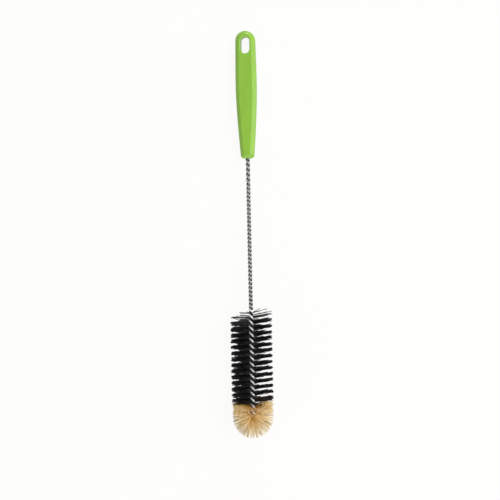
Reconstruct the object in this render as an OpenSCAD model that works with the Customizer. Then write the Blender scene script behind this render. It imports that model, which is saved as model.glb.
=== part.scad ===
/* [Overall] */
// Length of the whole brush, from the crown of the tuft to the end of the handle
brush_len = 250; // [230:1:300]
// Length of the moulded handle
handle_len = 78.2; // [60:0.1:100]

/* [Handle] */
// Width of the grip at its belly
grip_w = 12.8; // [11:0.1:18]
// Width of the rounded end that holds the hanging slot
crown_w = 12; // [10.5:0.1:16]
// Width of the grip where the wire enters
neck_w = 7.8; // [6.8:0.1:10]
// Distance from the hanging end to the belly
belly_at = 35; // [25:0.5:50]
// Thickness of the handle, front panel to back panel
handle_t = 8; // [6.5:0.1:12]
// Width of the bevel that runs round both panels
bevel = 2.1; // [0.8:0.1:2.4]
// Corner radius of the neck end
neck_corner_r = 2; // [0.5:0.1:3]
// Width of the hanging slot
slot_w = 5.6; // [4.6:0.1:6.4]
// Length of the hanging slot
slot_len = 10.3; // [8:0.1:16]
// Wall between the slot and the hanging end
slot_wall = 3.7; // [2.6:0.1:6]
// Chamfer on both rims of the slot
slot_chamfer = 0.6; // [0.2:0.1:0.8]
// Depth to which the wire is set into the handle
wire_seat = 30; // [15:1:38]
// Clearance round the wire in its bore, on the radius
bore_gap = 0.1; // [0.05:0.01:0.2]

/* [Twisted wire] */
// Diameter of the steel wire, which is folded double
wire_d = 1.3; // [1:0.05:1.6]
// Length of one full twist in the bare stem
stem_pitch = 5.07; // [4.6:0.01:8]
// Length of one full twist next to the handle, where it is looser
neck_pitch = 6.13; // [4.6:0.01:8]
// Length of bare stem that has the looser twist
loose_len = 18; // [0:1:40]
// Length of one full twist in the bristled head
head_pitch = 7.33; // [6:0.01:9]
// Length over which the twist changes from one pitch to the next
change_len = 4; // [2:0.1:8]
// Gap between the two strands in the bare stem
strand_gap = 0.14; // [0.12:0.01:0.3]
// Inner radius of the eye at the fold
eye_r = 0.65; // [0.5:0.05:1]
// Length over which the eye closes into the twist
eye_neck = 3.6; // [3:0.1:5]

/* [Bristle head] */
// Diameter of the trimmed head
head_d = 25.4; // [18:0.1:32]
// Rows of black bristles, two to each full twist of the wire
black_rows = 15; // [8:1:17]
// Length of wire that clamps tan bristles, below the black ones
tan_len = 5.3; // [2:0.1:8]
// Bristles laid through the wire in one full twist
bristles_per_turn = 36; // [24:1:36]
// Thickness of one bristle
bristle_t = 0.36; // [0.3:0.01:0.38]
// Clearance between a bristle and the strands that clamp it
bristle_gap = 0.08; // [0.06:0.01:0.15]
// Clearance between one turn of bristles and the next
turn_gap = 0.04; // [0.02:0.01:0.1]
// Slope of all the rows in degrees, up from the left side of the head to the right side
row_tilt = 4.5; // [0:0.5:6]

/* [Tip tuft] */
// Radius of the domed tuft
tuft_r = 12.7; // [9:0.1:16]
// Bristles in the tuft
tuft_count = 60; // [30:1:72]
// Radius of each knot where the tuft leaves the eye
knot_r = 1.35; // [1.2:0.05:1.6]
// Clearance between the knots and the eye
knot_gap = 0.1; // [0.05:0.01:0.3]

/* [Hidden] */

// Wire section and its rings along the path
wire_sides = 8;
rings_per_turn = 8;
eye_rings = 6;
fold_rings = 8;

// Upward growth: the tip is at 0 and the handle ends at brush_len
eye_z = tuft_r;
twist_z = eye_z + eye_neck;
tan_top = twist_z + tan_len;
black_top = tan_top + black_rows * head_pitch / 2;
handle_z = brush_len - handle_len;
loose_z = handle_z - loose_len;
wire_top = handle_z + wire_seat;

// Radii of the strand centres round the axis
stem_r = (wire_d + strand_gap) / 2;
head_r = (wire_d + bristle_t) / 2 + bristle_gap;
fold_r = eye_r + wire_d / 2;
bore_r = stem_r + wire_d / 2 + bore_gap;

// The brush lies on the last bristles of its head and the far edge of its handle
lean = atan((head_d / 2 - handle_t / 2) / (brush_len - bevel - black_top));
rest_height = cos(lean) * head_d / 2 + sin(lean) * black_top;

bristle_step = head_pitch / bristles_per_turn;
// Places left empty between one turn and the next, where the slopes of crossing bristles differ
skipped = ceil((bristle_t * (1 + tan(row_tilt)) + turn_gap) / bristle_step);
golden_turn = 137.508;
// Highest and lowest bristle tips of the tuft, as the sine of their slope from the eye
tuft_high = 0.18;
tuft_low = -1;

function clamped(u) = min(1, max(0, u));
function ease(u) = u * u * (3 - 2 * u);
function ease_area(u) = u * u * u * (1 - u / 2);
function unit(v) = v / norm(v);

// Turn of the strands at a height, in degrees, zero at the top of the head
function twist(z) =
    let(head_rate = 360 / head_pitch,
        stem_rate = 360 / stem_pitch,
        neck_rate = 360 / neck_pitch,
        eye = clamped((z - eye_z) / eye_neck))
    z < twist_z
        ? head_rate * (twist_z - black_top - eye_neck * (0.5 - ease_area(eye)))
        : head_rate * (z - black_top)
          + (stem_rate - head_rate) * changed(z - black_top)
          + (neck_rate - stem_rate) * changed(z - loose_z);

// Length of wire past a change of pitch, less what is lost while the change eases in
function changed(past) =
    change_len * ease_area(clamped(past / change_len)) + max(0, past - change_len);

// The twist is left-handed
function strand_angle(z, strand) = 180 * strand - twist(z);

function strand_r(z) =
    z < twist_z
        ? fold_r + (head_r - fold_r) * ease(clamped((z - eye_z) / eye_neck))
        : head_r + (stem_r - head_r) * ease(clamped((z - black_top) / change_len));

// Heights of the rings along one strand, from the eye to the end in the handle
function ring_heights() =
    let(head_count = ceil((black_top - twist_z) / head_pitch * rings_per_turn),
        stem_count = ceil((wire_top - black_top) / stem_pitch * rings_per_turn))
    concat([for (i = [0 : eye_rings - 1]) eye_z + eye_neck * i / eye_rings],
           [for (i = [0 : head_count - 1]) twist_z + (black_top - twist_z) * i / head_count],
           [for (i = [0 : stem_count]) black_top + (wire_top - black_top) * i / stem_count]);

// A stop on the wire's path: its centre, and the direction away from the axis
function strand_stop(z, strand) =
    let(a = strand_angle(z, strand), away = [cos(a), sin(a), 0])
    [strand_r(z) * away + [0, 0, z], away];

function fold_stop(t) =
    let(a = strand_angle(eye_z, 0), away = [cos(t) * cos(a), cos(t) * sin(a), -sin(t)])
    [fold_r * away + [0, 0, eye_z], away];

function reversed(list) = [for (i = [len(list) - 1 : -1 : 0]) list[i]];

// One wire: down the first strand, round the eye and up the second
function wire_path() =
    let(heights = ring_heights())
    concat([for (z = reversed(heights)) strand_stop(z, 0)],
           [for (i = [1 : fold_rings - 1]) fold_stop(180 * i / fold_rings)],
           [for (z = heights) strand_stop(z, 1)]);

// A round rod swept along the stops, with a flat of its section towards the axis
module swept_rod(stops, radius, sides) {
    last = len(stops) - 1;
    rings = [
        for (i = [0 : last])
            let(ahead = unit(stops[min(i + 1, last)][0] - stops[max(i - 1, 0)][0]),
                away = stops[i][1],
                normal = unit(away - (away * ahead) * ahead),
                across = cross(ahead, normal))
            for (k = [0 : sides - 1])
                let(a = 360 * (k + 0.5) / sides)
                stops[i][0] + radius * (cos(a) * normal + sin(a) * across)
    ];
    walls = [
        for (i = [0 : last - 1], k = [0 : sides - 1])
            let(next = (k + 1) % sides, low = i * sides, high = low + sides)
            each [[low + k, high + k, high + next], [low + k, high + next, low + next]]
    ];
    ends = [[for (k = [0 : sides - 1]) k],
            [for (k = [sides - 1 : -1 : 0]) last * sides + k]];
    polyhedron(points = rings, faces = concat(walls, ends), convexity = 10);
}

// Lays the upright brush down on its back, as it comes to rest, centred along Y
module laid_down() {
    translate([0, -brush_len * cos(lean) / 2, rest_height])
        rotate([-90 - lean, 0, 0])
            children();
}

// Half the handle's width at a distance from its hanging end
function half_width(s) =
    let(crown = crown_w / 2, belly = grip_w / 2)
    s < crown ? sqrt(max(0, s * (crown_w - s)))
    : s < belly_at ? crown + (belly - crown) * sin(90 * (s - crown) / (belly_at - crown))
    : belly - (belly - neck_w / 2) * pow((s - belly_at) / (handle_len - belly_at), 1.5);

// Front view of the handle, with its hanging end at the origin and its neck towards -Y
module handle_outline() {
    crown = crown_w / 2;
    stations = concat([for (a = [0 : 7.5 : 82.5]) crown * (1 - cos(a))],
                      [for (i = [0 : 24]) crown + (handle_len - crown) * i / 24]);
    offset(r = neck_corner_r, $fn = 32)
        offset(delta = -neck_corner_r)
            polygon(concat([for (s = stations) [half_width(s), -s]],
                           [for (s = reversed(stations)) [-half_width(s), -s]]));
}

module slot_profile(grow) {
    straight = slot_len - slot_w;
    square([slot_w + 2 * grow, straight], center = true);
    for (side = [-1, 1])
        translate([0, side * straight / 2]) circle(d = slot_w + 2 * grow, $fn = 48);
}

// Flared rim of the slot, widening upwards from its own width
module slot_rim() {
    straight = slot_len - slot_w;
    half = slot_w / 2;
    rotate([90, 0, 0])
        linear_extrude(straight, center = true)
            polygon([[-half, 0], [half, 0], [half + slot_chamfer, slot_chamfer],
                     [-half - slot_chamfer, slot_chamfer]]);
    for (side = [-1, 1])
        translate([0, side * straight / 2, 0])
            cylinder(h = slot_chamfer, r1 = half, r2 = half + slot_chamfer, $fn = 48);
}

module handle() {
    color("yellowgreen")
        laid_down()
            translate([0, 0, brush_len])
                rotate([90, 0, 0])
                    difference() {
                        hull() {
                            linear_extrude(handle_t - 2 * bevel, center = true) handle_outline();
                            linear_extrude(handle_t, center = true)
                                offset(delta = -bevel) handle_outline();
                        }
                        translate([0, -slot_wall - slot_len / 2, 0]) {
                            linear_extrude(handle_t + 2, center = true) slot_profile(0);
                            for (side = [0, 1])
                                mirror([0, 0, side])
                                    translate([0, 0, handle_t / 2 - slot_chamfer]) slot_rim();
                        }
                        translate([0, -handle_len - 1, 0])
                            rotate([-90, 0, 0])
                                cylinder(h = 1 + wire_seat + wire_d, r = bore_r, $fn = 48);
                    }
}

module twisted_wire() {
    color("silver")
        laid_down() swept_rod(wire_path(), wire_d / 2, wire_sides);
}

// A bristle pinched between the strands, at right angles to the line that joins them
module bristle(z) {
    a = 90 + strand_angle(z, 0);
    translate([0, 0, z])
        rotate([0, -row_tilt * cos(a), a])
            cube([head_d, bristle_t, bristle_t], center = true);
}

// The pair of rows in one full twist, numbered from the handle; the last may be a single row
module black_pair(number) {
    top = black_top - (number - 1) * head_pitch;
    rows = min(2, black_rows - 2 * (number - 1));
    color([0.1, 0.1, 0.11])
        laid_down()
            union()
                for (i = [0 : floor(bristles_per_turn * rows / 2) - skipped])
                    bristle(top - i * bristle_step);
}

module tan_rows() {
    color("burlywood")
        laid_down()
            union()
                for (i = [0 : floor(tan_len / bristle_step) - 1]) bristle(tan_top - i * bristle_step);
}

// A bristle of the tuft, from just inside its knot out to a point on the dome
module tuft_bristle(knot, tip) {
    reach = norm(tip - knot);
    direction = (tip - knot) / reach;
    start = knot_r - bristle_t / 2;
    translate(knot)
        rotate([0, acos(direction[2]), atan2(direction[1], direction[0])])
            translate([-bristle_t / 2, -bristle_t / 2, start])
                cube([bristle_t, bristle_t, reach - start]);
}

module tip_tuft() {
    offset_y = wire_d / 2 + knot_gap + knot_r;
    color("wheat")
        laid_down()
            translate([0, 0, eye_z])
                rotate([0, 0, strand_angle(eye_z, 0)])
                    union() {
                        rotate([90, 0, 0])
                            cylinder(h = 2 * offset_y, r = eye_r - knot_gap, center = true, $fn = 12);
                        for (side = [-1, 1])
                            translate([0, side * offset_y, 0]) sphere(r = knot_r, $fn = 12);
                        for (i = [0 : tuft_count - 1])
                            let(slope = tuft_high + (tuft_low - tuft_high) * (i + 0.5) / tuft_count,
                                level = sqrt(1 - slope * slope),
                                a = golden_turn * i,
                                side = sin(a) < 0 ? -1 : 1)
                                tuft_bristle([0, side * offset_y, 0],
                                             tuft_r * [level * cos(a), level * sin(a), slope]);
                    }
}

handle();
twisted_wire();
for (i = [1 : ceil(black_rows / 2)])
    black_pair(i);
tan_rows();
tip_tuft();
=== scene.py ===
"""A bottle brush: a moulded green handle on a folded, twisted steel wire that clamps trimmed bristles."""

import math

import bmesh
import bpy
from bpy.props import FloatProperty, FloatVectorProperty, IntProperty, PointerProperty
from bpy.types import Operator, Panel, PropertyGroup
from mathutils import Matrix, Vector


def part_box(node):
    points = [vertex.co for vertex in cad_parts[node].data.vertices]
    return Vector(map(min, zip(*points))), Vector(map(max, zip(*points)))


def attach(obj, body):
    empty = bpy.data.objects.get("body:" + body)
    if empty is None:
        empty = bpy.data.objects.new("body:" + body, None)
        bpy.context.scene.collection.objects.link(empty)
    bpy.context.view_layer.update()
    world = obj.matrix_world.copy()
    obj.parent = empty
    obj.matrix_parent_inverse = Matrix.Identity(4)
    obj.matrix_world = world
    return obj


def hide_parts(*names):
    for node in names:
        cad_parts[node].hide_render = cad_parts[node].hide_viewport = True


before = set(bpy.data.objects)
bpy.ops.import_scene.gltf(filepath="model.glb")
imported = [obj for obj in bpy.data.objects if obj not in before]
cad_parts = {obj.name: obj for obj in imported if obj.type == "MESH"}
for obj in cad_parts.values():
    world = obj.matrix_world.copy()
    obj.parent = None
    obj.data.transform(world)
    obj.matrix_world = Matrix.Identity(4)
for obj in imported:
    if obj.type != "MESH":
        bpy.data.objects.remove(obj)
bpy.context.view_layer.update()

bl_info = {
    "name": "Bottle Brush",
    "version": (1, 0, 0),
    "blender": (4, 5, 0),
    "location": "View3D > Sidebar > Brush",
    "description": "Makes a small bottle brush and its studio, in metres",
    "category": "Add Mesh",
}

BODY = "root"
BLACK_NODES = sorted(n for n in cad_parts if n.startswith("black_rows"))


# Sizes and colours: after the name and description of each come its default and its limits


def metres(name, description, default, low, high, precision=4):
    """A length."""
    return FloatProperty(
        name=name,
        description=description,
        default=default,
        min=low,
        max=high,
        precision=precision,
        unit="LENGTH",
        subtype="DISTANCE",
    )


def degrees(name, description, default, low, high):
    """An angle, with its default in degrees and its limits in radians."""
    return FloatProperty(
        name=name,
        description=description,
        default=math.radians(default),
        min=low,
        max=high,
        unit="ROTATION",
        subtype="ANGLE",
    )


def watts(name, description, default):
    """The power of a lamp."""
    return FloatProperty(
        name=name, description=description, default=default, min=0.0, max=100.0, unit="POWER"
    )


def count_of(name, description, default, low, high):
    """A number of things."""
    return IntProperty(name=name, description=description, default=default, min=low, max=high)


def colour_of(name, description, default):
    """A linear colour."""
    return FloatVectorProperty(
        name=name, description=description, default=default, min=0, max=1, size=3, subtype="COLOR"
    )


class HandleSizes(PropertyGroup):
    """Sizes and colour of the moulded handle."""

    length: metres("Length", "From the neck, where the wire enters, to the hanging end", 0.0782, 0.06, 0.1)
    grip_width: metres("Grip width", "Width at the belly", 0.0128, 0.011, 0.018)
    crown_width: metres(
        "Crown width", "Width of the rounded end round the hanging slot", 0.012, 0.0105, 0.016
    )
    neck_width: metres("Neck width", "Width where the wire enters", 0.0078, 0.0068, 0.01)
    belly_at: metres(
        "Belly from crown", "Distance from the hanging end to the widest place", 0.035, 0.025, 0.05
    )
    thickness: metres("Thickness", "From the front panel to the back panel", 0.008, 0.0065, 0.012)
    bevel: metres("Bevel", "Width of the bevel round both panels", 0.0021, 0.0008, 0.0024)
    edge_round: metres(
        "Edge rounding", "Radius that softens each edge of the bevel", 0.0008, 0.0002, 0.0015
    )
    corner: metres("Neck corner", "Corner radius of the neck end", 0.002, 0.0005, 0.003)
    slot_width: metres("Slot width", "Width of the hanging slot", 0.0056, 0.0046, 0.0064)
    slot_length: metres("Slot length", "Length of the hanging slot", 0.0103, 0.008, 0.016)
    slot_wall: metres("Slot wall", "Wall between the slot and the hanging end", 0.0037, 0.0026, 0.006)
    slot_round: metres("Slot rim", "Radius that rolls both rims of the slot", 0.0005, 0.0002, 0.001)
    wire_seat: metres("Wire seat", "Depth to which the wire is set into the handle", 0.03, 0.015, 0.038)
    bore_gap: metres(
        "Bore gap", "Clearance round the wire in its bore, on the radius",
        0.0001, 0.00005, 0.0002, precision=5,
    )
    colour: colour_of("Colour", "Colour of the moulded plastic", (0.25, 0.505, 0.03))


class WireSizes(PropertyGroup):
    """Sizes and colour of the folded, twisted wire."""

    brush_length: metres(
        "Brush length", "From the crown of the tuft to the end of the handle", 0.25, 0.23, 0.3
    )
    diameter: metres(
        "Diameter", "Diameter of the wire, which is folded double", 0.0013, 0.001, 0.0016, precision=5
    )
    stem_pitch: metres(
        "Stem twist", "Length of one full twist in the bare stem", 0.00507, 0.0046, 0.008, precision=5
    )
    neck_pitch: metres(
        "Neck twist", "Length of one full twist next to the handle, where it is looser",
        0.00613, 0.0046, 0.008, precision=5,
    )
    loose_length: metres("Loose length", "Length of bare stem that has the looser twist", 0.018, 0.0, 0.04)
    head_pitch: metres(
        "Head twist", "Length of one full twist in the bristled head", 0.00733, 0.006, 0.009, precision=5
    )
    change_length: metres(
        "Change of twist", "Length over which the twist changes from one pitch to the next",
        0.004, 0.002, 0.008,
    )
    strand_gap: metres(
        "Strand gap", "Gap between the two strands in the stem", 0.00014, 0.0, 0.0003, precision=5
    )
    clamp_gap: metres(
        "Clamp gap", "Gap between the two strands where they clamp bristles",
        0.00052, 0.0002, 0.0007, precision=5,
    )
    eye_radius: metres(
        "Eye radius", "Inner radius of the eye at the fold", 0.00065, 0.0005, 0.001, precision=5
    )
    eye_neck: metres(
        "Eye neck", "Length over which the eye closes into the twist", 0.0036, 0.003, 0.005, precision=5
    )
    sides: count_of("Sides", "Sides of the wire's round section", 14, 6, 24)
    rings: count_of("Rings", "Rings along the wire in one full twist", 24, 8, 48)
    colour: colour_of("Colour", "Colour of the drawn steel", (0.95, 0.95, 0.94))
    # Painted shade: the grooves where the strands touch and the sides of the strands are painted darker
    # than the steel
    painted_groove_shade: colour_of(
        "Painted groove shade", "Colour of the painted shade on the steel where the strands touch", (0.11, 0.108, 0.106)
    )
    painted_flank_shade: colour_of("Painted flank shade", "Colour of the painted shade on the sides of the strands", (0.27, 0.268, 0.264))


class BlackBristleSizes(PropertyGroup):
    """Sizes and colour of the black nylon bristles."""

    head_diameter: metres("Head diameter", "Diameter that the head is trimmed to", 0.0254, 0.018, 0.032)
    row_count: count_of("Rows", "Rows of black bristles, two to each full twist", 15, 8, 17)
    thinning: metres(
        "Thinning", "Length at the top of the head over which the rows fill up", 0.004, 0.0, 0.01
    )
    thickness: metres("Thickness", "Thickness of one bristle", 0.0004, 0.0001, 0.0005, precision=5)
    count: count_of("Bristles", "Bristles laid through the wire in the black rows", 1350, 100, 2200)
    layer: metres(
        "Layer", "How far bristles lie from the middle of their row at the wire",
        0.0003, 0.0, 0.002, precision=5,
    )
    splay: degrees("Splay", "Largest slope of a bristle along the wire", 4.25, 0.0, 0.5)
    sweep: degrees("Sweep", "How far all bristles lean towards the handle", 1.8, -0.5, 0.5)
    tilt: degrees("Tilt", "How far the rows slope up from the left side to the right", 4.85, -0.5, 0.5)
    tilt_turn: degrees(
        "Tilt turn", "How far the slope's high side turns from the right to the front", 10, -3.15, 3.15
    )
    curl: metres("Curl", "How far a tip bends off its straight line", 0.0003, 0.0, 0.003, precision=5)
    colour: colour_of("Colour", "Colour of the nylon", (0.007, 0.0065, 0.0072))


class TanBristleSizes(PropertyGroup):
    """Sizes and colours of the tan bristles, in the rows and in the tuft."""

    row_length: metres("Row length", "Length of wire that clamps tan bristles", 0.0053, 0.002, 0.008)
    row_count: count_of("Row bristles", "Tan bristles laid through the wire above the eye", 900, 50, 1200)
    row_reach: metres(
        "Row reach", "Distance from the wire to the tips of the tan rows", 0.0124, 0.009, 0.016
    )
    tuft_radius: metres("Tuft radius", "Radius of the domed tuft round the eye", 0.0127, 0.009, 0.016)
    lock_count: count_of("Locks", "Locks that the tuft's bristles gather in", 210, 20, 300)
    lock_size: count_of("Bristles in a lock", "Bristles in one lock of the tuft", 6, 1, 20)
    lock_spread: metres(
        "Lock spread", "How far the tips of a lock stray from its middle", 0.00045, 0.0, 0.004, precision=5
    )
    thickness: metres(
        "Thickness", "Thickness of one bristle at its root", 0.00028, 0.0001, 0.0004, precision=5
    )
    gather: metres(
        "Gather", "How far the tuft leaves the eye sideways before it fans out", 0.0021, 0.0, 0.004
    )
    # Painted shade: the dark brown beside the wire, where the bristles are clamped
    root_painted_shade: colour_of("Root painted shade", "Colour of the painted shade beside the wire", (0.42, 0.14, 0.025))
    colour: colour_of("Colour", "Colour of the middle of a bristle", (1.0, 0.64, 0.155))
    tip_colour: colour_of("Tip colour", "Colour of the thin tip of a bristle", (0.97, 0.84, 0.57))


class StudioSizes(PropertyGroup):
    """Floor, lamps and camera."""

    floor_size: metres("Floor", "Length of each side of the floor", 4.0, 1.0, 10.0, precision=2)
    floor_colour: colour_of("Floor colour", "Colour of the floor", (0.96, 0.955, 0.94))
    key_power: watts("Key lamp", "Power of the large lamp at the upper right", 10.3)
    fill_power: watts("Fill lamp", "Power of the lamp beyond the tip", 4.6)
    side_power: watts("Side lamp", "Power of the low lamp at the right", 1.8)
    end_power: watts("End lamp", "Power of the low lamp beyond the handle", 5.0)
    glint_power: watts("Glint lamp", "Power of the small lamp that the steel glints with", 0.9)
    sky: FloatProperty(
        name="Sky", description="Strength of the even light from all round",
        default=0.42, min=0.0, max=2.0, subtype="FACTOR",
    )
    camera_distance: metres(
        "Camera distance", "From the middle of the brush to the camera", 1.06, 0.3, 5.0, precision=2
    )
    lens: FloatProperty(
        name="Lens", description="Focal length in millimetres",
        default=124.1, min=20.0, max=300.0, unit="CAMERA",
    )
    roll: degrees("Roll", "How far the brush leans to the left in the view", 1.19, -0.5, 0.5)
    round_by: degrees("Round by", "How far the camera stands round to the right of the brush", 6, -0.5, 0.5)


class BrushSettings(PropertyGroup):
    """All sizes and colours of the brush and its studio."""

    handle: PointerProperty(type=HandleSizes, name="Handle", description="The moulded handle")
    wire: PointerProperty(type=WireSizes, name="Wire", description="The twisted wire")
    black: PointerProperty(
        type=BlackBristleSizes, name="Black bristles", description="The rows of black nylon"
    )
    tan: PointerProperty(
        type=TanBristleSizes, name="Tan bristles", description="The tan rows and the tuft"
    )
    studio: PointerProperty(type=StudioSizes, name="Studio", description="Floor, lamps and camera")


# Node trees


def arithmetic(operation, reflected=False):
    """A method that adds one Math node, with its own outlet first or, reflected, second."""

    def method(self, other):
        values = (other, self) if reflected else (self, other)
        return self.graph.math(operation, *values)

    return method


class Value:
    """The first outlet of a node, or the one that is named. Arithmetic on it adds Math nodes."""

    def __init__(self, graph, node, name=None):
        self.graph = graph
        self.node = node
        self.name = name

    def __getitem__(self, name):
        return Value(self.graph, self.node, name)

    __add__ = arithmetic("ADD")
    __radd__ = arithmetic("ADD", reflected=True)
    __sub__ = arithmetic("SUBTRACT")
    __rsub__ = arithmetic("SUBTRACT", reflected=True)
    __mul__ = arithmetic("MULTIPLY")
    __rmul__ = arithmetic("MULTIPLY", reflected=True)
    __truediv__ = arithmetic("DIVIDE")
    __rtruediv__ = arithmetic("DIVIDE", reflected=True)

    def __neg__(self):
        return self * -1.0


def socket_at(sockets, name):
    """The socket with a number or a name, or the first one in use."""
    if isinstance(name, int):
        return sockets[name]
    return next(s for s in sockets if s.enabled and name in (None, s.name))


class Graph:
    """A node tree in the making."""

    def __init__(self, tree):
        self.tree = tree

    def node(self, kind, settings=None, sockets=None):
        """Adds a node, sets it up, then gives its sockets their values or links."""
        made = self.tree.nodes.new(kind)
        for name, value in (settings or {}).items():
            if name == "stops":
                elements = made.color_ramp.elements
                while len(elements) < len(value):
                    elements.new(0.5)
                for element, (position, colour) in zip(elements, value):
                    element.position = position
                    element.color = (*colour, 1.0)
            else:
                setattr(made, name, value)
        for name, value in (sockets or {}).items():
            socket = socket_at(made.inputs, name)
            if isinstance(value, Value):
                self.tree.links.new(socket_at(value.node.outputs, value.name), socket)
            else:
                socket.default_value = value
        return Value(self, made)

    def math(self, operation, *values):
        return self.node("ShaderNodeMath", {"operation": operation}, dict(enumerate(values)))

    def vector_math(self, operation, *values):
        return self.node("ShaderNodeVectorMath", {"operation": operation}, dict(enumerate(values)))

    def scaled(self, vector, amount):
        sockets = {"Vector": vector, "Scale": amount}
        return self.node("ShaderNodeVectorMath", {"operation": "SCALE"}, sockets)

    def vector(self, x=0.0, y=0.0, z=0.0):
        return self.node("ShaderNodeCombineXYZ", {}, {"X": x, "Y": y, "Z": z})

    def parts(self, vector):
        return self.node("ShaderNodeSeparateXYZ", {}, {"Vector": vector})

    def between(self, value, low, high):
        """0 at low, 1 at high, eased between them."""
        sockets = {"Value": value, "From Min": low, "From Max": high}
        return self.node("ShaderNodeMapRange", {"interpolation_type": "SMOOTHSTEP"}, sockets)

    def mixed(self, factor, a, b, blend="MIX"):
        """Colour a, or colour b where factor is 1."""
        first, second = [c if isinstance(c, Value) else (*c, 1.0) for c in (a, b)]
        sockets = {"Factor": factor, "A": first, "B": second}
        return self.node("ShaderNodeMix", {"data_type": "RGBA", "blend_type": blend}, sockets)

    def dimmed(self, colour, share):
        """The share of a colour's light that is left."""
        return self.mixed(1.0, colour, self.vector(share, share, share), "MULTIPLY")

    def noise(self, place, scale, detail, roughness=0.5):
        sockets = {"Vector": place, "Scale": scale, "Detail": detail, "Roughness": roughness}
        return self.node("ShaderNodeTexNoise", {}, sockets)

    def seen(self):
        """1 where the camera looks, straight, by reflection or through glass, and 0 for light."""
        ray = self.node("ShaderNodeLightPath")
        bent = self.math("MAXIMUM", ray["Is Glossy Ray"], ray["Is Transmission Ray"])
        return self.math("MAXIMUM", ray["Is Camera Ray"], bent)


class Finish(Graph):
    """A material in the making."""

    def __init__(self, name):
        self.material = bpy.data.materials.new(name)
        self.material.use_nodes = True
        self.material.node_tree.nodes.clear()
        super().__init__(self.material.node_tree)

    def place(self):
        """Object coordinates, in metres."""
        return self.node("ShaderNodeTexCoord")["Object"]

    def attribute(self, name, outlet="Fac"):
        return self.node("ShaderNodeAttribute", {"attribute_name": name})[outlet]

    def bump(self, height, distance, strength):
        sockets = {"Height": height, "Distance": distance, "Strength": strength}
        return self.node("ShaderNodeBump", {}, sockets)

    def surface(self, sockets):
        """Ends the material in one surface shader."""
        shader = self.node("ShaderNodeBsdfPrincipled", {}, sockets)
        self.node("ShaderNodeOutputMaterial", {}, {"Surface": shader})
        return self.material


class Growth(Graph):
    """A Geometry Nodes tree in the making, with a named input for each value it is given."""

    KINDS = {
        float: "NodeSocketFloat",
        int: "NodeSocketInt",
        tuple: "NodeSocketVector",
        bpy.types.Material: "NodeSocketMaterial",
    }

    def __init__(self, name, inputs):
        super().__init__(bpy.data.node_groups.new(name, "GeometryNodeTree"))
        face = self.tree.interface
        face.new_socket("Geometry", in_out="OUTPUT", socket_type="NodeSocketGeometry")
        face.new_socket("Geometry", in_out="INPUT", socket_type="NodeSocketGeometry")
        for label, value in inputs.items():
            face.new_socket(label, in_out="INPUT", socket_type=self.KINDS[type(value)])
        self.inlets = self.node("NodeGroupInput")

    def __getitem__(self, name):
        return self.inlets[name]

    def stored(self, geometry, name, value, kind="FLOAT"):
        """The geometry, with a value kept on its points under a name."""
        settings = {"data_type": kind, "domain": "POINT"}
        sockets = {"Geometry": geometry, "Name": name, "Value": value}
        return self.node("GeometryNodeStoreNamedAttribute", settings, sockets)

    def recalled(self, name, kind="FLOAT"):
        """The value that was stored under a name."""
        return self.node("GeometryNodeInputNamedAttribute", {"data_type": kind}, {"Name": name})

    def random(self, low, high, channel, thing=None):
        """A random number for each point, or the same one for all points of a thing."""
        sockets = {"Min": low, "Max": high, "Seed": self["Seed"] + channel}
        if thing is not None:
            sockets["ID"] = thing
        return self.node("FunctionNodeRandomValue", {"data_type": "FLOAT"}, sockets)

    def jitter(self, most, channel, thing=None):
        """A random number up to the most, to either side of 0."""
        return self.random(-most, most, channel, thing)

    def circle(self, sides, radius):
        sockets = {"Resolution": sides, "Radius": radius}
        return self.node("GeometryNodeCurvePrimitiveCircle", {}, sockets)

    def swept(self, curve, section, scale=1.0):
        """The capped mesh of a section that follows a curve."""
        sockets = {"Curve": curve, "Profile Curve": section, "Scale": scale, "Fill Caps": True}
        return self.node("GeometryNodeCurveToMesh", {}, sockets)

    def finished(self, geometry):
        """Ends the tree: real faces, smooth, in the given material."""
        real = self.node("GeometryNodeRealizeInstances", {}, {"Geometry": geometry})
        smooth = self.node("GeometryNodeSetShadeSmooth", {}, {"Geometry": real})
        sockets = {"Geometry": smooth, "Material": self["Material"]}
        coated = self.node("GeometryNodeSetMaterial", {}, sockets)
        self.node("NodeGroupOutput", {}, {"Geometry": coated})
        return self.tree


# Meshes and pieces


def placed(name, data):
    """A new object in the scene."""
    thing = bpy.data.objects.new(name, data)
    bpy.context.scene.collection.objects.link(thing)
    return thing


def applied(thing):
    """The plain mesh that an object's modifier makes. The object is removed."""
    depsgraph = bpy.context.evaluated_depsgraph_get()
    mesh = bpy.data.meshes.new_from_object(
        thing.evaluated_get(depsgraph), preserve_all_data_layers=True, depsgraph=depsgraph
    )
    bpy.data.objects.remove(thing)
    return mesh


def grown_mesh(name, make_tree, source=None, **inputs):
    """The plain mesh that a tree with these inputs makes on source, or on nothing."""
    tree = make_tree(inputs)
    carrier = placed(name, source or bpy.data.meshes.new(name))
    modifier = carrier.modifiers.new(tree.name, "NODES")
    modifier.node_group = tree
    sockets = {
        item.name: item.identifier
        for item in tree.interface.items_tree
        if item.item_type == "SOCKET" and item.in_out == "INPUT"
    }
    for label, value in inputs.items():
        modifier[sockets[label]] = value
    mesh = applied(carrier)
    if not mesh.polygons:
        raise RuntimeError(f"{name} came out empty")
    mesh.name = name
    return mesh


def set_in_place(name, mesh, finish, nodes):
    """Makes the piece from its upright mesh, where the frame has the nodes it stands for."""
    mesh.transform(upright_place())
    mesh.materials.clear()
    mesh.materials.append(finish)
    piece = placed(name, mesh)
    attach(piece, BODY)
    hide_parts(*nodes)


# The upright brush: the tip is at 0, the handle ends at the brush's length, and the front faces -Y


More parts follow.
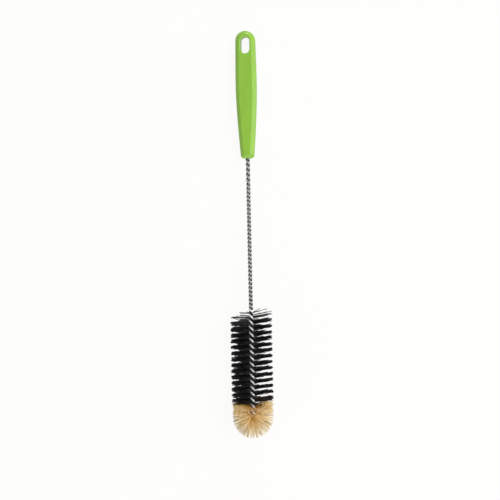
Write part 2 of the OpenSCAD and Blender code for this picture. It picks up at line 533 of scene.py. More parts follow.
class Heights:
    """Heights along the upright brush, in metres, and the angle that it leans at as it lies."""

    def __init__(self, settings):
        handle, wire, black, tan = settings.handle, settings.wire, settings.black, settings.tan
        self.eye = tan.tuft_radius
        self.twist = self.eye + wire.eye_neck
        self.tan_top = self.twist + tan.row_length
        self.black_top = self.tan_top + black.row_count * wire.head_pitch / 2
        self.handle = wire.brush_length - handle.length
        self.loose = self.handle - wire.loose_length
        self.wire_top = self.handle + handle.wire_seat
        rise = (black.head_diameter - handle.thickness) / 2
        self.lean = math.atan(rise / (wire.brush_length - handle.bevel - self.black_top))


def current():
    """The settings and the heights that follow from them."""
    settings = bpy.context.scene.bottle_brush
    return settings, Heights(settings)


def upright_place():
    """Carries the upright brush to where the frame's handle lies."""
    settings, heights = current()
    low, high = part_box("handle")
    s, c = math.sin(heights.lean), math.cos(heights.lean)
    along = Vector((0, c, -s))
    handle_middle = settings.wire.brush_length - settings.handle.length / 2
    origin = (low + high) / 2 - along * handle_middle
    turn = Matrix(((1, 0, 0), (0, -s, c), (0, -c, -s)))
    return Matrix.Translation(origin) @ turn.to_4x4()


def clamped(u):
    return min(1.0, max(0.0, u))


def ease(u):
    """From 0 to 1, slowly at both ends."""
    return u * u * (3 - 2 * u)


def ease_area(u):
    """The area under ease from 0 to u."""
    return u * u * u * (1 - u / 2)


def strand_angle(z, strand, wire, heights):
    """Direction of a strand from the axis at a height, in radians. The twist is left-handed."""
    head_rate = math.tau / wire.head_pitch
    stem_rate = math.tau / wire.stem_pitch
    neck_rate = math.tau / wire.neck_pitch

    def changed(past):
        """Length past a change of pitch, less what is lost while the change eases in."""
        change = wire.change_length
        return change * ease_area(clamped(past / change)) + max(0.0, past - change)

    if z < heights.twist:
        eye = clamped((z - heights.eye) / wire.eye_neck)
        eased = wire.eye_neck * (0.5 - ease_area(eye))
        turn = head_rate * (heights.twist - heights.black_top - eased)
    else:
        turn = (
            head_rate * (z - heights.black_top)
            + (stem_rate - head_rate) * changed(z - heights.black_top)
            + (neck_rate - stem_rate) * changed(z - heights.loose)
        )
    return math.pi * strand - turn


def fold_radius(wire):
    """Radius of the wire's middle line round the eye."""
    return wire.eye_radius + wire.diameter / 2


def strand_radius(z, wire, heights):
    """Distance of a strand's middle from the axis at a height."""
    stem = (wire.diameter + wire.strand_gap) / 2
    head = (wire.diameter + wire.clamp_gap) / 2
    fold = fold_radius(wire)
    if z < heights.twist:
        return fold + (head - fold) * ease(clamped((z - heights.eye) / wire.eye_neck))
    return head + (stem - head) * ease(clamped((z - heights.black_top) / wire.change_length))


def wire_path(wire, heights):
    """Middle line of the one wire: down the first strand, round the eye and up the second."""
    eye_rings = 14
    fold_rings = 16
    head_rings = math.ceil((heights.black_top - heights.twist) / wire.head_pitch * wire.rings)
    stem_rings = math.ceil((heights.wire_top - heights.black_top) / wire.stem_pitch * wire.rings)

    def spread(low, high, count):
        return [low + (high - low) * i / count for i in range(count)]

    levels = (
        spread(heights.eye, heights.twist, eye_rings)
        + spread(heights.twist, heights.black_top, head_rings)
        + spread(heights.black_top, heights.wire_top, stem_rings)
        + [heights.wire_top]
    )

    def stop(z, strand):
        angle = strand_angle(z, strand, wire, heights)
        radius = strand_radius(z, wire, heights)
        return Vector((radius * math.cos(angle), radius * math.sin(angle), z))

    fold = fold_radius(wire)
    start = strand_angle(heights.eye, 0, wire, heights)
    bend = []
    for i in range(1, fold_rings):
        turn = math.pi * i / fold_rings
        out = fold * math.cos(turn)
        z = heights.eye - fold * math.sin(turn)
        bend.append(Vector((out * math.cos(start), out * math.sin(start), z)))
    return [stop(z, 0) for z in reversed(levels)] + bend + [stop(z, 1) for z in levels]


# Handle


def half_width(s, handle):
    """Half the handle's width at a distance from its hanging end, past the crown."""
    crown, belly = handle.crown_width / 2, handle.grip_width / 2
    if s < handle.belly_at:
        rise = math.pi / 2 * (s - crown) / (handle.belly_at - crown)
        return crown + (belly - crown) * math.sin(rise)
    share = (s - handle.belly_at) / (handle.length - handle.belly_at)
    return belly - (belly - handle.neck_width / 2) * share**1.5


def handle_outline(handle):
    """Stops round the handle's front view, hanging end first.

    A stop is its point, its outward normal, and the corner that it rounds, if any: the
    corner's centre, and the way to go from there once the outline is drawn in past it.
    """
    crown_stops, side_stops, corner_stops = 20, 44, 10

    def slope_at(s):
        """How much the half width grows with the distance."""
        step = 1e-5
        return (half_width(s + step, handle) - half_width(s, handle)) / step

    crown = handle.crown_width / 2
    right = []
    for i in range(crown_stops):
        a = math.pi / 2 * i / crown_stops
        point = Vector((crown * math.sin(a), crown * (1 - math.cos(a))))
        right.append((point, Vector((math.sin(a), -math.cos(a))), None))
    corner = handle.corner
    centre_s = handle.length - corner
    first = math.atan(-slope_at(centre_s))
    meets = centre_s + corner * math.sin(first)
    for i in range(side_stops):
        s = crown + (meets - crown) * i / side_stops
        normal = Vector((1, -slope_at(s))).normalized()
        right.append((Vector((half_width(s, handle), s)), normal, None))
    centre = Vector((half_width(meets, handle) - corner * math.cos(first), centre_s))
    mitre = Vector(((1 - math.sin(first)) / math.cos(first), 1))
    for i in range(corner_stops + 1):
        a = first + (math.pi / 2 - first) * i / corner_stops
        normal = Vector((math.cos(a), math.sin(a)))
        right.append((centre + corner * normal, normal, (centre, mitre)))
    right.append((Vector((0, handle.length)), Vector((0, 1)), None))

    def mirrored(vector):
        return Vector((-vector.x, vector.y))

    left = [
        (mirrored(point), mirrored(normal), rounds and tuple(map(mirrored, rounds)))
        for point, normal, rounds in reversed(right[1:-1])
    ]
    return right + left


def drawn_in(stop, inset):
    """Where a stop comes to when its outline is drawn in; past a corner's radius it is a mitre."""
    point, normal, rounds = stop
    if rounds:
        centre, mitre = rounds
        past = inset - (point - centre).length
        if past > 0:
            return centre - mitre * past
    return point - normal * inset


def slot_outline(handle):
    """Stops round the hanging slot, with normals that point to its middle."""
    end_stops = 28
    radius = handle.slot_width / 2
    reach = (handle.slot_length - handle.slot_width) / 2
    middle = handle.slot_wall + handle.slot_length / 2
    stops = []
    for half_turns, end in enumerate((middle + reach, middle - reach)):
        for i in range(end_stops + 1):
            a = math.pi * (half_turns + i / end_stops)
            inward = -Vector((math.cos(a), math.sin(a)))
            stops.append((Vector((0, end)) - radius * inward, inward, None))
    return stops


# Width of the first strip of each panel, inside its rounded edge, in metres
PANEL_RIM = 0.0001


def edge_profile(handle):
    """Steps from the front panel over the bevel and side to the back, as inset and depth."""
    arc_steps = 6
    seam_ridge = 0.00003
    seam_foot = 0.00014
    seam_crest = 0.00006
    half = handle.thickness / 2
    bevel = handle.bevel
    radius = handle.edge_round
    tangent = radius * math.tan(math.pi / 8)
    wall = half - bevel
    front = [(bevel + tangent + PANEL_RIM, -half)]
    for i in range(arc_steps + 1):
        a = math.pi / 4 * i / arc_steps
        inset = bevel + tangent - radius * math.sin(a)
        front.append((inset, -half + radius - radius * math.cos(a)))
    for i in range(arc_steps + 1):
        a = math.pi / 4 * (1 - i / arc_steps)
        front.append((radius - radius * math.cos(a), -wall + tangent - radius * math.sin(a)))
    front += [(0, -seam_foot), (-seam_ridge, -seam_crest)]
    return front + [(inset, -depth) for inset, depth in reversed(front)]


def slot_profile(handle):
    """Steps from the front panel through the slot to the back, as inset and depth."""
    arc_steps = 7
    half = handle.thickness / 2
    radius = handle.slot_round
    front = [(radius + PANEL_RIM, -half)]
    for i in range(arc_steps + 1):
        a = math.pi / 2 * i / arc_steps
        front.append((radius - radius * math.sin(a), -half + radius - radius * math.cos(a)))
    return front + [(inset, -depth) for inset, depth in reversed(front)]


def join_rings(bm, near, far):
    """Faces between two rings of as many vertices."""
    for i in range(len(near)):
        j = (i + 1) % len(near)
        bm.faces.new((near[i], near[j], far[j], far[i]))


def add_wall(bm, outline, profile, top):
    """Skins the outline, drawn in by each step of the profile, from front to back."""
    rings = []
    for inset, depth in profile:
        places = [drawn_in(stop, inset) for stop in outline]
        rings.append([bm.verts.new((at.x, depth, top - at.y)) for at in places])
    for near, far in zip(rings, rings[1:]):
        join_rings(bm, near, far)


def made_mesh(bm, name):
    """The mesh that was built in bm, which is freed."""
    mesh = bpy.data.meshes.new(name)
    bm.to_mesh(mesh)
    bm.free()
    return mesh


def bored(mesh, handle, wire, heights):
    """Cuts the wire's bore into the neck end."""
    sides = 40
    overrun = 0.001
    radius = wire.diameter + wire.strand_gap / 2 + handle.bore_gap
    depth = handle.wire_seat + wire.diameter
    turns = [math.tau * i / sides for i in range(sides)]
    bm = bmesh.new()
    low, high = [
        [bm.verts.new((radius * math.cos(a), radius * math.sin(a), z)) for a in turns]
        for z in (heights.handle - overrun, heights.handle + depth)
    ]
    join_rings(bm, low, high)
    bm.faces.new(list(reversed(low)))
    bm.faces.new(high)
    tool = placed("bore", made_mesh(bm, "bore"))
    blank = placed("blank", mesh)
    cut = blank.modifiers.new("bore", "BOOLEAN")
    cut.operation = "DIFFERENCE"
    cut.solver = "EXACT"
    cut.object = tool
    result = applied(blank)
    bpy.data.objects.remove(tool)
    if len(result.polygons) <= len(mesh.polygons):
        raise RuntimeError("the bore was not cut")
    return result


def handle_mesh(handle, wire, heights):
    """The bevelled grip with its rolled hanging slot and the wire's bore."""
    merge_within = 1e-6
    sharp_from = math.radians(35)
    bm = bmesh.new()
    top = heights.handle + handle.length
    add_wall(bm, handle_outline(handle), edge_profile(handle), top)
    add_wall(bm, slot_outline(handle), slot_profile(handle), top)
    bmesh.ops.remove_doubles(bm, verts=bm.verts, dist=merge_within)
    for side in (-1, 1):
        rims = [e for e in bm.edges if e.is_boundary and e.verts[0].co.y * side > 0]
        bmesh.ops.triangle_fill(bm, use_beauty=True, edges=rims)
    bmesh.ops.recalc_face_normals(bm, faces=bm.faces)
    result = bored(made_mesh(bm, "grip"), handle, wire, heights)
    result.name = "grip"
    result.shade_smooth()
    result.set_sharp_from_angle(angle=sharp_from)
    return result


# Trees. Each random number has a channel of its own, so a new one leaves the others as they are


def bristle_form(growth):
    """One bristle of unit length along X, with its share of the way out stored on it."""
    line = growth.node("GeometryNodeCurvePrimitiveLine", {}, {"End": (1.0, 0.0, 0.0)})
    sockets = {"Curve": line, "Count": growth["Segments"] + 1}
    stops = growth.node("GeometryNodeResampleCurve", {}, sockets)
    along = growth.node("GeometryNodeSplineParameter")
    middle = growth.stored(stops, "along", along)
    return growth.swept(middle, growth.circle(sides=4, radius=1.0), 1.0 - growth["Taper"] * along)


def planted(growth, points, rotation, length, bend, bend_share):
    """A bristle at each point, turned, scaled to its length and then bent. Ends the tree."""
    thick = growth["Thickness"] / 2
    sockets = {
        "Points": growth.stored(points, "bend", bend, "FLOAT_VECTOR"),
        "Instance": bristle_form(growth),
        "Rotation": rotation,
        "Scale": growth.vector(length, thick, thick),
    }
    bristles = growth.node("GeometryNodeInstanceOnPoints", {}, sockets)
    real = growth.node("GeometryNodeRealizeInstances", {}, {"Geometry": bristles})
    share = bend_share(growth.recalled("along"))
    offset = growth.scaled(growth.recalled("bend", "FLOAT_VECTOR"), share)
    sockets = {"Geometry": real, "Offset": offset}
    return growth.finished(growth.node("GeometryNodeSetPosition", {}, sockets))


def wire_tree(inputs):
    """A round wire swept along the path, which stores what its finish goes by."""
    growth = Growth("Swept Wire", inputs)
    position = growth.node("GeometryNodeInputPosition")
    run = growth.node("GeometryNodeSplineParameter")["Length"]
    path = growth.stored(growth["Geometry"], "run", run)
    path = growth.stored(path, "middle", position, "FLOAT_VECTOR")
    section = growth.circle(growth["Sides"], growth["Diameter"] / 2)
    around = growth.vector_math("NORMALIZE", position)
    section = growth.stored(section, "round", around, "FLOAT_VECTOR")
    mesh = growth.swept(path, section)
    middle = growth.recalled("middle", "FLOAT_VECTOR")
    away = growth.vector_math("MULTIPLY", middle, (1.0, 1.0, 0.0))
    away = growth.vector_math("NORMALIZE", away)
    side = growth.scaled(growth.vector_math("SUBTRACT", position, middle), 2 / growth["Diameter"])
    outward = growth.vector_math("DOT_PRODUCT", away, side)
    height = growth.parts(middle)["Z"]
    bare = growth.between(height, growth["HeadTop"], growth["BareFrom"])
    # The finish paints its highlight and shade by how far the surface faces away from the axis
    mesh = growth.stored(mesh, "outward", outward)
    return growth.finished(growth.stored(mesh, "bare", bare))


def rows_tree(inputs):
    """Bristles laid through a twisted wire, each pointing where the clamp holds it.

    They go from Top to Bottom, Clump of them together, and at Mark they point to the front and
    back. About Loose of them are strung out over Thinning at the top, where they turn aside by up
    to Stray and rise by Lift. Within Ragged of Bottom they splay more. At the wire a row reaches
    Layer to each side of its middle, and Draw is the share of that which is gone at the tips.
    Trim is how uneven the tips are, and Pressed is the reach that is lost beneath.
    """
    growth = Growth("Clamped Bristles", inputs)
    # Each bristle through the wire is two points, one for each side
    index = growth.node("GeometryNodeInputIndex")
    through = growth.math("FLOOR", index / 2)
    side = index - 2 * through
    clump = growth.math("FLOOR", through / growth["Clump"])
    # The first loose clumps stand far apart, and then the rows fill up
    shuffled = clump + growth.random(0.0, 1.0, 1, clump)
    order = growth["Clump"] * shuffled + growth.jitter(0.3, 12, through)
    loose = growth.math("EXPONENT", -order / growth["Loose"])
    run = growth["Top"] - growth["Bottom"] - growth["Thinning"]
    filled = growth["Top"] - run * order / growth["Bristles"]
    middle = filled - growth["Thinning"] * (1 - loose)
    off = growth["Layer"] * (growth.jitter(0.5, 2, through) + growth.jitter(0.5, 3, through))
    height = middle - growth["Bottom"]
    ragged = growth.between(height, growth["Ragged"], growth["Ragged"] / 2)
    angle = (
        math.pi / 2
        - math.tau * (middle - growth["Mark"]) / growth["Pitch"]
        + math.pi * side
        + (growth["Sway"] + growth["Stray"] * loose) * growth.jitter(1.0, 4)
    )
    fan = growth.jitter(0.6, 5, 2 * clump + side) + growth.jitter(0.4, 6)
    slope = (
        growth["Splay"] * (1 + ragged) * fan
        + growth["Lift"] * loose
        + growth["Sweep"] * (1 - ragged)
        + growth["Tilt"] * growth.math("COSINE", angle + growth["TiltTurn"])
        - growth["Draw"] * off / growth["Reach"]
    )
    # The bristles beneath lose a little of their reach to the surface they rest on
    beneath = growth.between(growth.math("SINE", angle), 0.3, 1.0)
    trimmed = growth["Reach"] - growth["Trim"] * growth.random(0.0, 1.0, 7)
    reach = trimmed - growth["Pressed"] * beneath
    points = growth.node("GeometryNodePoints", {}, {"Count": 2 * growth["Bristles"]})
    sockets = {"Geometry": points, "Position": growth.vector(z=middle + off)}
    points = growth.node("GeometryNodeSetPosition", {}, sockets)
    points = growth.stored(points, "shade", growth.random(0.0, 1.0, 8))
    euler = growth.vector(y=-slope, z=angle)
    rotation = growth.node("FunctionNodeEulerToRotation", {}, {"Euler": euler})
    bend = growth.vector(*(growth["Curl"] * growth.jitter(1.0, channel) for channel in (9, 10, 11)))
    return planted(growth, points, rotation, reach, bend, lambda along: along * along)


def tuft_tree(inputs):
    """Bristles that leave the eye to both sides and fan out to a dome, in locks.

    The locks cover the dome from High to Low, as shares of its Reach, and Stretch lengthens it
    along the wire. The bristles leave the eye along Side, as far as Gather, before they fan out.
    """
    growth = Growth("Domed Tuft", inputs)
    index = growth.node("GeometryNodeInputIndex")
    lock = growth.math("FLOOR", index / growth["LockSize"])
    # The locks are spread evenly over the dome, a golden angle apart
    share = (lock + 0.5) / growth["Locks"]
    slope = growth["High"] + (growth["Low"] - growth["High"]) * share
    level = growth.math("SQRT", 1 - slope * slope)
    turn = math.radians(137.508) * lock
    cut = growth.random(0.0, 0.6, 1) + growth.random(0.0, 0.4, 2, lock)
    reach = growth["Reach"] - growth["Trim"] * cut
    aim = growth.vector(
        level * growth.math("COSINE", turn) * reach,
        level * growth.math("SINE", turn) * reach,
        slope * reach,
    )
    stray = growth.vector(
        *(
            growth["Spread"] * (growth.jitter(1.0, channel) + growth.jitter(0.6, channel + 1, lock))
            for channel in (3, 5, 7)
        )
    )
    heading = growth.vector_math("NORMALIZE", growth.vector_math("ADD", aim, stray))
    stretch = growth.vector(1.0, 1.0, growth["Stretch"])
    tip = growth.vector_math("MULTIPLY", growth.scaled(heading, reach), stretch)
    facing = growth.math("SIGN", growth.vector_math("DOT_PRODUCT", tip, growth["Side"]))
    knee = growth.scaled(growth["Side"], facing * growth["Gather"])
    count = growth["Locks"] * growth["LockSize"]
    points = growth.node("GeometryNodePoints", {}, {"Count": count})
    shade = growth.random(0.0, 0.3, 9) + growth.random(0.0, 0.7, 10, lock)
    points = growth.stored(points, "shade", shade)
    sockets = {"Vector": growth.vector_math("NORMALIZE", tip)}
    rotation = growth.node("FunctionNodeAlignRotationToVector", {"axis": "X"}, sockets)
    length = growth.vector_math("LENGTH", tip)
    bend = growth.vector_math("SUBTRACT", growth.scaled(knee, 2.0), tip)
    return planted(growth, points, rotation, length, bend, lambda along: along * (1 - along))


# Finishes

# Painted glow: emission of the tan bristles, in place of the light that comes through them, and of the
# painted highlight on the wire between the rows
PAINTED_GLOW = 0.18


def toned(colour, amount):
    """A colour made darker or lighter, up to white."""
    return tuple(min(1.0, c * amount) for c in colour)


def green_plastic(handle):
    """Semi-gloss moulded plastic with a fine grain and faint flow mottling."""
    finish = Finish("green_plastic")
    place = finish.place()
    mottle = finish.between(finish.noise(place, scale=170.0, detail=3.0), 0.3, 0.7)
    grain = finish.noise(place, scale=3800.0, detail=3.0, roughness=0.6)
    wear = finish.noise(place, scale=620.0, detail=4.0, roughness=0.65)
    deep, pale = toned(handle.colour, 0.96), toned(handle.colour, 1.05)
    return finish.surface(
        {
            "Base Color": finish.mixed(mottle, deep, pale),
            "Roughness": 0.29 + 0.1 * wear + 0.06 * grain,
            "Specular IOR Level": 0.56,
            "Normal": finish.bump(grain + 0.8 * wear, distance=0.00001, strength=0.5),
        }
    )


def steel_wire(wire):
    """Drawn steel with fine lines along the strand, with painted shade where the strands touch and on their
    sides.

    The ridges carry a painted highlight, bright all over in the head, where they also glow. The bare stem
    is dimmed with painted shade, with a thin painted highlight.
    """
    finish = Finish("drawn_steel")
    outward = finish.attribute("outward")
    bare = finish.attribute("bare")
    # Painted highlight: the part of each strand that faces away from the axis is painted bright, all over
    # it in the head and as a thin line on the bare stem
    painted_highlight = finish.between(outward, 0.1 + 0.65 * bare, 0.5 + 0.47 * bare)
    head_painted_highlight = painted_highlight * (1 - bare)
    # Painted shade: the sides of the strands and the grooves where they touch are painted dark
    painted_flank_mask = finish.between(outward, -0.1, 0.5)
    around = finish.parts(finish.attribute("round", "Vector"))
    drawn = finish.vector(around["X"] * 4.0, around["Y"] * 4.0, finish.attribute("run") * 55.0)
    lines = finish.noise(drawn, scale=2.4, detail=3.0, roughness=0.6)
    cloud = finish.between(finish.noise(finish.place(), scale=420.0, detail=3.0), 0.3, 0.75)
    steel = finish.mixed(cloud, toned(wire.colour, 0.86), toned(wire.colour, 1.05))
    # Painted shade: the bright steel is dimmed on the bare stem
    steel = finish.dimmed(steel, 1 - 0.68 * bare)
    sides = finish.mixed(painted_flank_mask, wire.painted_groove_shade, wire.painted_flank_shade)
    return finish.surface(
        {
            "Base Color": finish.mixed(painted_highlight, sides, steel),
            "Metallic": 1 - 0.55 * head_painted_highlight,
            "Roughness": 0.3 + 0.08 * bare + 0.08 * lines,
            # Painted glow: the painted highlight in the head glows with the steel's colour
            "Emission Color": finish.mixed(head_painted_highlight, (0.0, 0.0, 0.0), steel),
            "Emission Strength": PAINTED_GLOW,
            "Normal": finish.bump(lines, distance=0.000012, strength=0.4),
        }
    )


def black_nylon(black):
    """Black nylon that goes from bristle to bristle between coal and charcoal."""
    finish = Finish("black_nylon")
    shade = finish.attribute("shade")
    fine = finish.noise(finish.place(), scale=2500.0, detail=2.0)
    coal, charcoal = toned(black.colour, 0.55), toned(black.colour, 1.9)
    return finish.surface(
        {
            "Base Color": finish.mixed(shade * 0.8 + fine * 0.2, coal, charcoal),
            "Roughness": 0.34 + 0.14 * shade + 0.06 * fine,
            "Specular IOR Level": 0.3,
            "Normal": finish.bump(fine, distance=0.00001, strength=0.4),
        }
    )


def tan_bristle(name, tan, golden, pale, dimmest):
    """Tan bristle: brown with painted shade at the root and darker deeper in, golden along its length and
    pale at the tip, with a painted glow.

    Golden and pale are the shares of its length where these colours are reached, and dimmest
    is how bright the darkest bristles are beside the brightest.
    """
    finish = Finish(name)
    shade = finish.attribute("shade")
    fine = finish.noise(finish.place(), scale=1400.0, detail=3.0)
    # Painted shade: the ramp is dark brown beside the wire, where the bristles are clamped, and a darker
    # golden deeper in
    stops = (
        (0.04, toned(tan.root_painted_shade, 0.35)),
        (0.18, tan.root_painted_shade),
        (0.34, toned(tan.colour, 0.66)),
        (golden, tan.colour),
        (pale, tan.tip_colour),
    )
    along = finish.attribute("along") + 0.16 * (shade - 0.5) + 0.1 * (fine - 0.5)
    ramp = finish.node("ShaderNodeValToRGB", {"stops": stops}, {"Fac": along})
    colour = finish.dimmed(ramp, dimmest + (1 - dimmest) * shade)
    return finish.surface(
        {
            "Base Color": colour,
            # Painted glow: the bristles glow in their own colour, in place of the light that comes through
            # them
            "Emission Color": colour,
            "Emission Strength": PAINTED_GLOW,
            "Roughness": 0.5 + 0.14 * fine,
            "Specular IOR Level": 0.12,
            "Normal": finish.bump(fine, distance=0.00001, strength=0.4),
        }
    )


# Colour of white paper, which the floor and the world show to the camera
PAPER_WHITE = (1.0, 0.997, 0.985, 1.0)


def pale_floor(studio):
    """A pale floor that reads as white paper and keeps the shadow."""
    paper_share = 0.93
    finish = Finish("pale_floor")
    grain = finish.noise(finish.place(), scale=900.0, detail=3.0)
    colour = finish.mixed(grain, toned(studio.floor_colour, 0.985), studio.floor_colour)
    sockets = {"Color": colour, "Roughness": 0.6}
    diffuse = finish.node("ShaderNodeBsdfDiffuse", {}, sockets)
    sockets = {"Color": PAPER_WHITE, "Strength": 1.0}
    paper = finish.node("ShaderNodeEmission", {}, sockets)
    sockets = {0: finish.seen() * paper_share, 1: diffuse, 2: paper}
    shader = finish.node("ShaderNodeMixShader", {}, sockets)
    finish.node("ShaderNodeOutputMaterial", {}, {"Surface": shader})
    return finish.material


# Operators


class BOTTLEBRUSH_OT_handle(Operator):
    """Makes the moulded handle with its bevels, hanging slot and wire bore"""

    bl_idname = "bottle_brush.handle"
    bl_label = "Handle"

    def execute(self, context):
        settings, heights = current()
        mesh = handle_mesh(settings.handle, settings.wire, heights)
        set_in_place("grip", mesh, green_plastic(settings.handle), ["handle"])
        return {"FINISHED"}


class BOTTLEBRUSH_OT_wire(Operator):
    """Sweeps the one steel wire that is folded at the eye and twisted"""

    bl_idname = "bottle_brush.wire"
    bl_label = "Twisted wire"

    def execute(self, context):
        settings, heights = current()
        wire = settings.wire
        stops = wire_path(wire, heights)
        curve = bpy.data.curves.new("wire_path", "CURVE")
        curve.dimensions = "3D"
        spline = curve.splines.new("POLY")
        spline.points.add(len(stops) - 1)
        for point, stop in zip(spline.points, stops):
            point.co = (*stop, 1.0)
        finish = steel_wire(wire)
        mesh = grown_mesh(
            "core_wire",
            wire_tree,
            source=curve,
            Diameter=wire.diameter,
            Sides=wire.sides,
            HeadTop=heights.black_top,
            BareFrom=heights.black_top + wire.change_length,
            Material=finish,
        )
        set_in_place("core_wire", mesh, finish, ["twisted_wire"])
        return {"FINISHED"}


class BOTTLEBRUSH_OT_black_bristles(Operator):
    """Lays the black nylon bristles through the wire in a double spiral"""

    bl_idname = "bottle_brush.black_bristles"
    bl_label = "Black bristles"

    def execute(self, context):
        # How far the bristles reach past the two ends of their length of wire, and past the trim
        past_top, past_bottom, past_trim = 0.0005, 0.0008, 0.00025
        # The reach that the bristles beneath lose to the floor, besides half their thickness
        pressed = 0.00045
        settings, heights = current()
        black = settings.black
        finish = black_nylon(black)
        mesh = grown_mesh(
            "black_bristles",
            rows_tree,
            Bristles=black.count,
            Clump=2,
            Top=heights.black_top + past_top,
            Bottom=heights.tan_top - past_bottom,
            Thinning=black.thinning,
            Loose=18.0,
            Stray=0.7,
            Lift=0.06,
            Ragged=0.004,
            Mark=heights.black_top,
            Pitch=settings.wire.head_pitch,
            Reach=black.head_diameter / 2 + past_trim,
            Pressed=pressed + black.thickness / 2,
            Trim=0.0004,
            Thickness=black.thickness,
            Taper=0.0,
            Layer=black.layer,
            Draw=1.0,
            Splay=black.splay,
            Sweep=black.sweep,
            Tilt=black.tilt,
            TiltTurn=black.tilt_turn,
            Sway=0.18,
            Curl=black.curl,
            Segments=4,
            Seed=15,
            Material=finish,
        )
        set_in_place("black_bristles", mesh, finish, BLACK_NODES)
        return {"FINISHED"}


class BOTTLEBRUSH_OT_tan_bristles(Operator):
    """Lays the tan bristles through the wire, between the black rows and the eye"""

    bl_idname = "bottle_brush.tan_bristles"
    bl_label = "Tan bristles"

    def execute(self, context):
        # How far the bristles stop short of the ends of their length of wire
        short_of_top, short_of_eye = 0.0009, 0.001
        settings, heights = current()
        black, tan = settings.black, settings.tan
        finish = tan_bristle("tan_fibre", tan, golden=0.8, pale=1.0, dimmest=0.55)
        mesh = grown_mesh(
            "tan_bristles",
            rows_tree,
            Bristles=tan.row_count,
            Clump=3,
            Top=heights.tan_top - short_of_top,
            Bottom=heights.eye + short_of_eye,
            Thinning=0.0,
            Loose=1.0,
            Stray=0.0,
            Lift=0.0,
            Ragged=0.0,
            Mark=heights.black_top,
            Pitch=settings.wire.head_pitch,
            Reach=tan.row_reach,
            Pressed=0.0,
            Trim=0.0009,
            Thickness=tan.thickness,
            Taper=0.35,
            Layer=0.0004,
            Draw=0.0,
            Splay=math.radians(7.5),
            Sweep=black.sweep / 2,
            Tilt=black.tilt / 2,
            TiltTurn=black.tilt_turn,
            Sway=0.35,
            Curl=0.0007,
            Segments=5,
            Seed=23,
            Material=finish,
        )
        set_in_place("tan_bristles", mesh, finish, ["tan_rows"])
        return {"FINISHED"}


class BOTTLEBRUSH_OT_tuft(Operator):
    """Fans the domed tuft out of the wire's eye"""

    bl_idname = "bottle_brush.tuft"
    bl_label = "Tip tuft"

    def execute(self, context):
        settings, heights = current()
        tan = settings.tan
        finish = tan_bristle("tan_tuft_fibre", tan, golden=0.52, pale=0.95, dimmest=0.48)
        across = strand_angle(heights.eye, 0, settings.wire, heights) + math.pi / 2
        mesh = grown_mesh(
            "tuft_bristles",
            tuft_tree,
            Locks=tan.lock_count,
            LockSize=tan.lock_size,
            Spread=tan.lock_spread,
            High=0.45,
            Low=-1.0,
            Reach=tan.tuft_radius,
            Stretch=1.04,
            Trim=0.0003,
            Thickness=tan.thickness,
            Taper=0.4,
            Gather=tan.gather,
            Side=(math.cos(across), math.sin(across), 0.0),
            Segments=7,
            Seed=37,
            Material=finish,
        )
        mesh.transform(Matrix.Translation((0, 0, heights.eye)))
        set_in_place("tuft_bristles", mesh, finish, ["tip_tuft"])
        return {"FINISHED"}


def add_floor(studio):
    """A square floor under the brush."""
    half = studio.floor_size / 2
    corners = [(-half, -half, 0), (half, -half, 0), (half, half, 0), (-half, half, 0)]
    mesh = bpy.data.meshes.new("floor")
    mesh.from_pydata(corners, [], [(0, 1, 2, 3)])
    mesh.materials.append(pale_floor(studio))
    floor = placed("floor", mesh)


def add_lamps(studio):
    """Square soft lamps, all turned to one point just above the floor."""
    aim = Vector((0, 0, 0.01))
    for name, at, size, power in (
        ("key_lamp", Vector((0.86, 0.25, 1.17)), 0.9, studio.key_power),
        ("fill_lamp", Vector((0.1, -1.2, 0.4)), 0.5, studio.fill_power),
        ("side_lamp", Vector((1.3, 0.1, 0.17)), 0.3, studio.side_power),
        ("end_lamp", Vector((0.2, 1.3, 0.18)), 0.3, studio.end_power),
        ("glint_lamp", Vector((0.35, -0.3, 1.12)), 0.15, studio.glint_power),
    ):
        lamp = bpy.data.lights.new(name, "AREA")
        lamp.shape = "SQUARE"
        lamp.size = size
        lamp.energy = power
        holder = placed(name, lamp)
        holder.location = at
        holder.rotation_euler = (aim - at).to_track_quat("-Z", "Y").to_euler()


def add_world(studio):
    """An even white sky, which the camera sees as white paper."""
    world = bpy.data.worlds.new("studio")
    world.use_nodes = True
    world.node_tree.nodes.clear()
    graph = Graph(world.node_tree)
    sockets = {"Color": (1.0, 1.0, 1.0, 1.0), "Strength": studio.sky}
    sky = graph.node("ShaderNodeBackground", {}, sockets)
    sockets = {"Color": PAPER_WHITE, "Strength": 1.0}
    paper = graph.node("ShaderNodeBackground", {}, sockets)
    both = graph.node("ShaderNodeMixShader", {}, {0: graph.seen(), 1: sky, 2: paper})
    graph.node("ShaderNodeOutputWorld", {}, {"Surface": both})
    bpy.context.scene.world = world


def add_camera(studio, brush_length):
    """Looks down on the brush, square to its middle, with the handle up in the view."""
    sensor_width = 36
    # How far to the right of the brush's middle and below it the camera aims, in metres
    aim_right, aim_down = 0.0004, 0.0095
    place = upright_place()
    turn = place.to_3x3() @ Matrix.Rotation(studio.round_by, 3, "Z")
    along = turn @ Vector((0, 0, 1))
    front = turn @ Vector((0, -1, 0))
    sideways = turn @ Vector((1, 0, 0))
    middle = place @ Vector((0, 0, brush_length / 2))
    stand = middle + front * studio.camera_distance
    up = along * math.cos(studio.roll) + sideways * math.sin(studio.roll)
    right = sideways * math.cos(studio.roll) - along * math.sin(studio.roll)
    aim = middle + right * aim_right - up * aim_down
    back = (stand - aim).normalized()
    right = up.cross(back).normalized()
    up = back.cross(right)
    camera = bpy.data.cameras.new("camera")
    camera.lens = studio.lens
    camera.sensor_width = sensor_width
    holder = placed("camera", camera)
    turn = Matrix((right, up, back)).transposed()
    holder.matrix_world = Matrix.Translation(stand) @ turn.to_4x4()
    bpy.context.scene.camera = holder


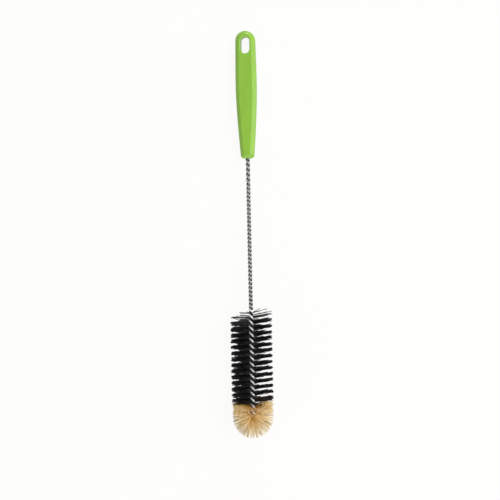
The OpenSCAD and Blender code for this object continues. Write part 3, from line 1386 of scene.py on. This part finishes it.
class BOTTLEBRUSH_OT_studio(Operator):
    """Lays the pale floor and sets up the lamps, the world and the camera"""

    bl_idname = "bottle_brush.studio"
    bl_label = "Studio"

    def execute(self, context):
        settings = context.scene.bottle_brush
        add_floor(settings.studio)
        add_lamps(settings.studio)
        add_world(settings.studio)
        add_camera(settings.studio, settings.wire.brush_length)
        context.scene.view_settings.view_transform = "Standard"
        return {"FINISHED"}


# Groups of settings, with the operators that use them
PANEL_ROWS = (
    ("handle", ["bottle_brush.handle"]),
    ("wire", ["bottle_brush.wire"]),
    ("black", ["bottle_brush.black_bristles"]),
    ("tan", ["bottle_brush.tan_bristles", "bottle_brush.tuft"]),
    ("studio", ["bottle_brush.studio"]),
)


class BOTTLEBRUSH_PT_panel(Panel):
    """Lists the brush's pieces and their sizes"""

    bl_idname = "BOTTLEBRUSH_PT_panel"
    bl_label = "Bottle Brush"
    bl_space_type = "VIEW_3D"
    bl_region_type = "UI"
    bl_category = "Brush"

    def draw(self, context):
        settings = context.scene.bottle_brush
        for group, operators in PANEL_ROWS:
            box = self.layout.box()
            for operator in operators:
                box.operator(operator)
            sizes = getattr(settings, group)
            for name in sizes.bl_rna.properties.keys():
                if name not in ("rna_type", "name"):
                    box.prop(sizes, name)


CLASSES = (
    HandleSizes,
    WireSizes,
    BlackBristleSizes,
    TanBristleSizes,
    StudioSizes,
    BrushSettings,
    BOTTLEBRUSH_OT_handle,
    BOTTLEBRUSH_OT_wire,
    BOTTLEBRUSH_OT_black_bristles,
    BOTTLEBRUSH_OT_tan_bristles,
    BOTTLEBRUSH_OT_tuft,
    BOTTLEBRUSH_OT_studio,
    BOTTLEBRUSH_PT_panel,
)


def register():
    for cls in CLASSES:
        bpy.utils.register_class(cls)
    bpy.types.Scene.bottle_brush = PointerProperty(
        type=BrushSettings,
        name="Bottle brush",
        description="Sizes and colours of the bottle brush",
    )


def unregister():
    del bpy.types.Scene.bottle_brush
    for cls in reversed(CLASSES):
        bpy.utils.unregister_class(cls)


def main():
    register()
    bpy.ops.bottle_brush.handle()
    bpy.ops.bottle_brush.wire()
    bpy.ops.bottle_brush.black_bristles()
    bpy.ops.bottle_brush.tan_bristles()
    bpy.ops.bottle_brush.tuft()
    bpy.ops.bottle_brush.studio()


if __name__ == "__main__":
    main()
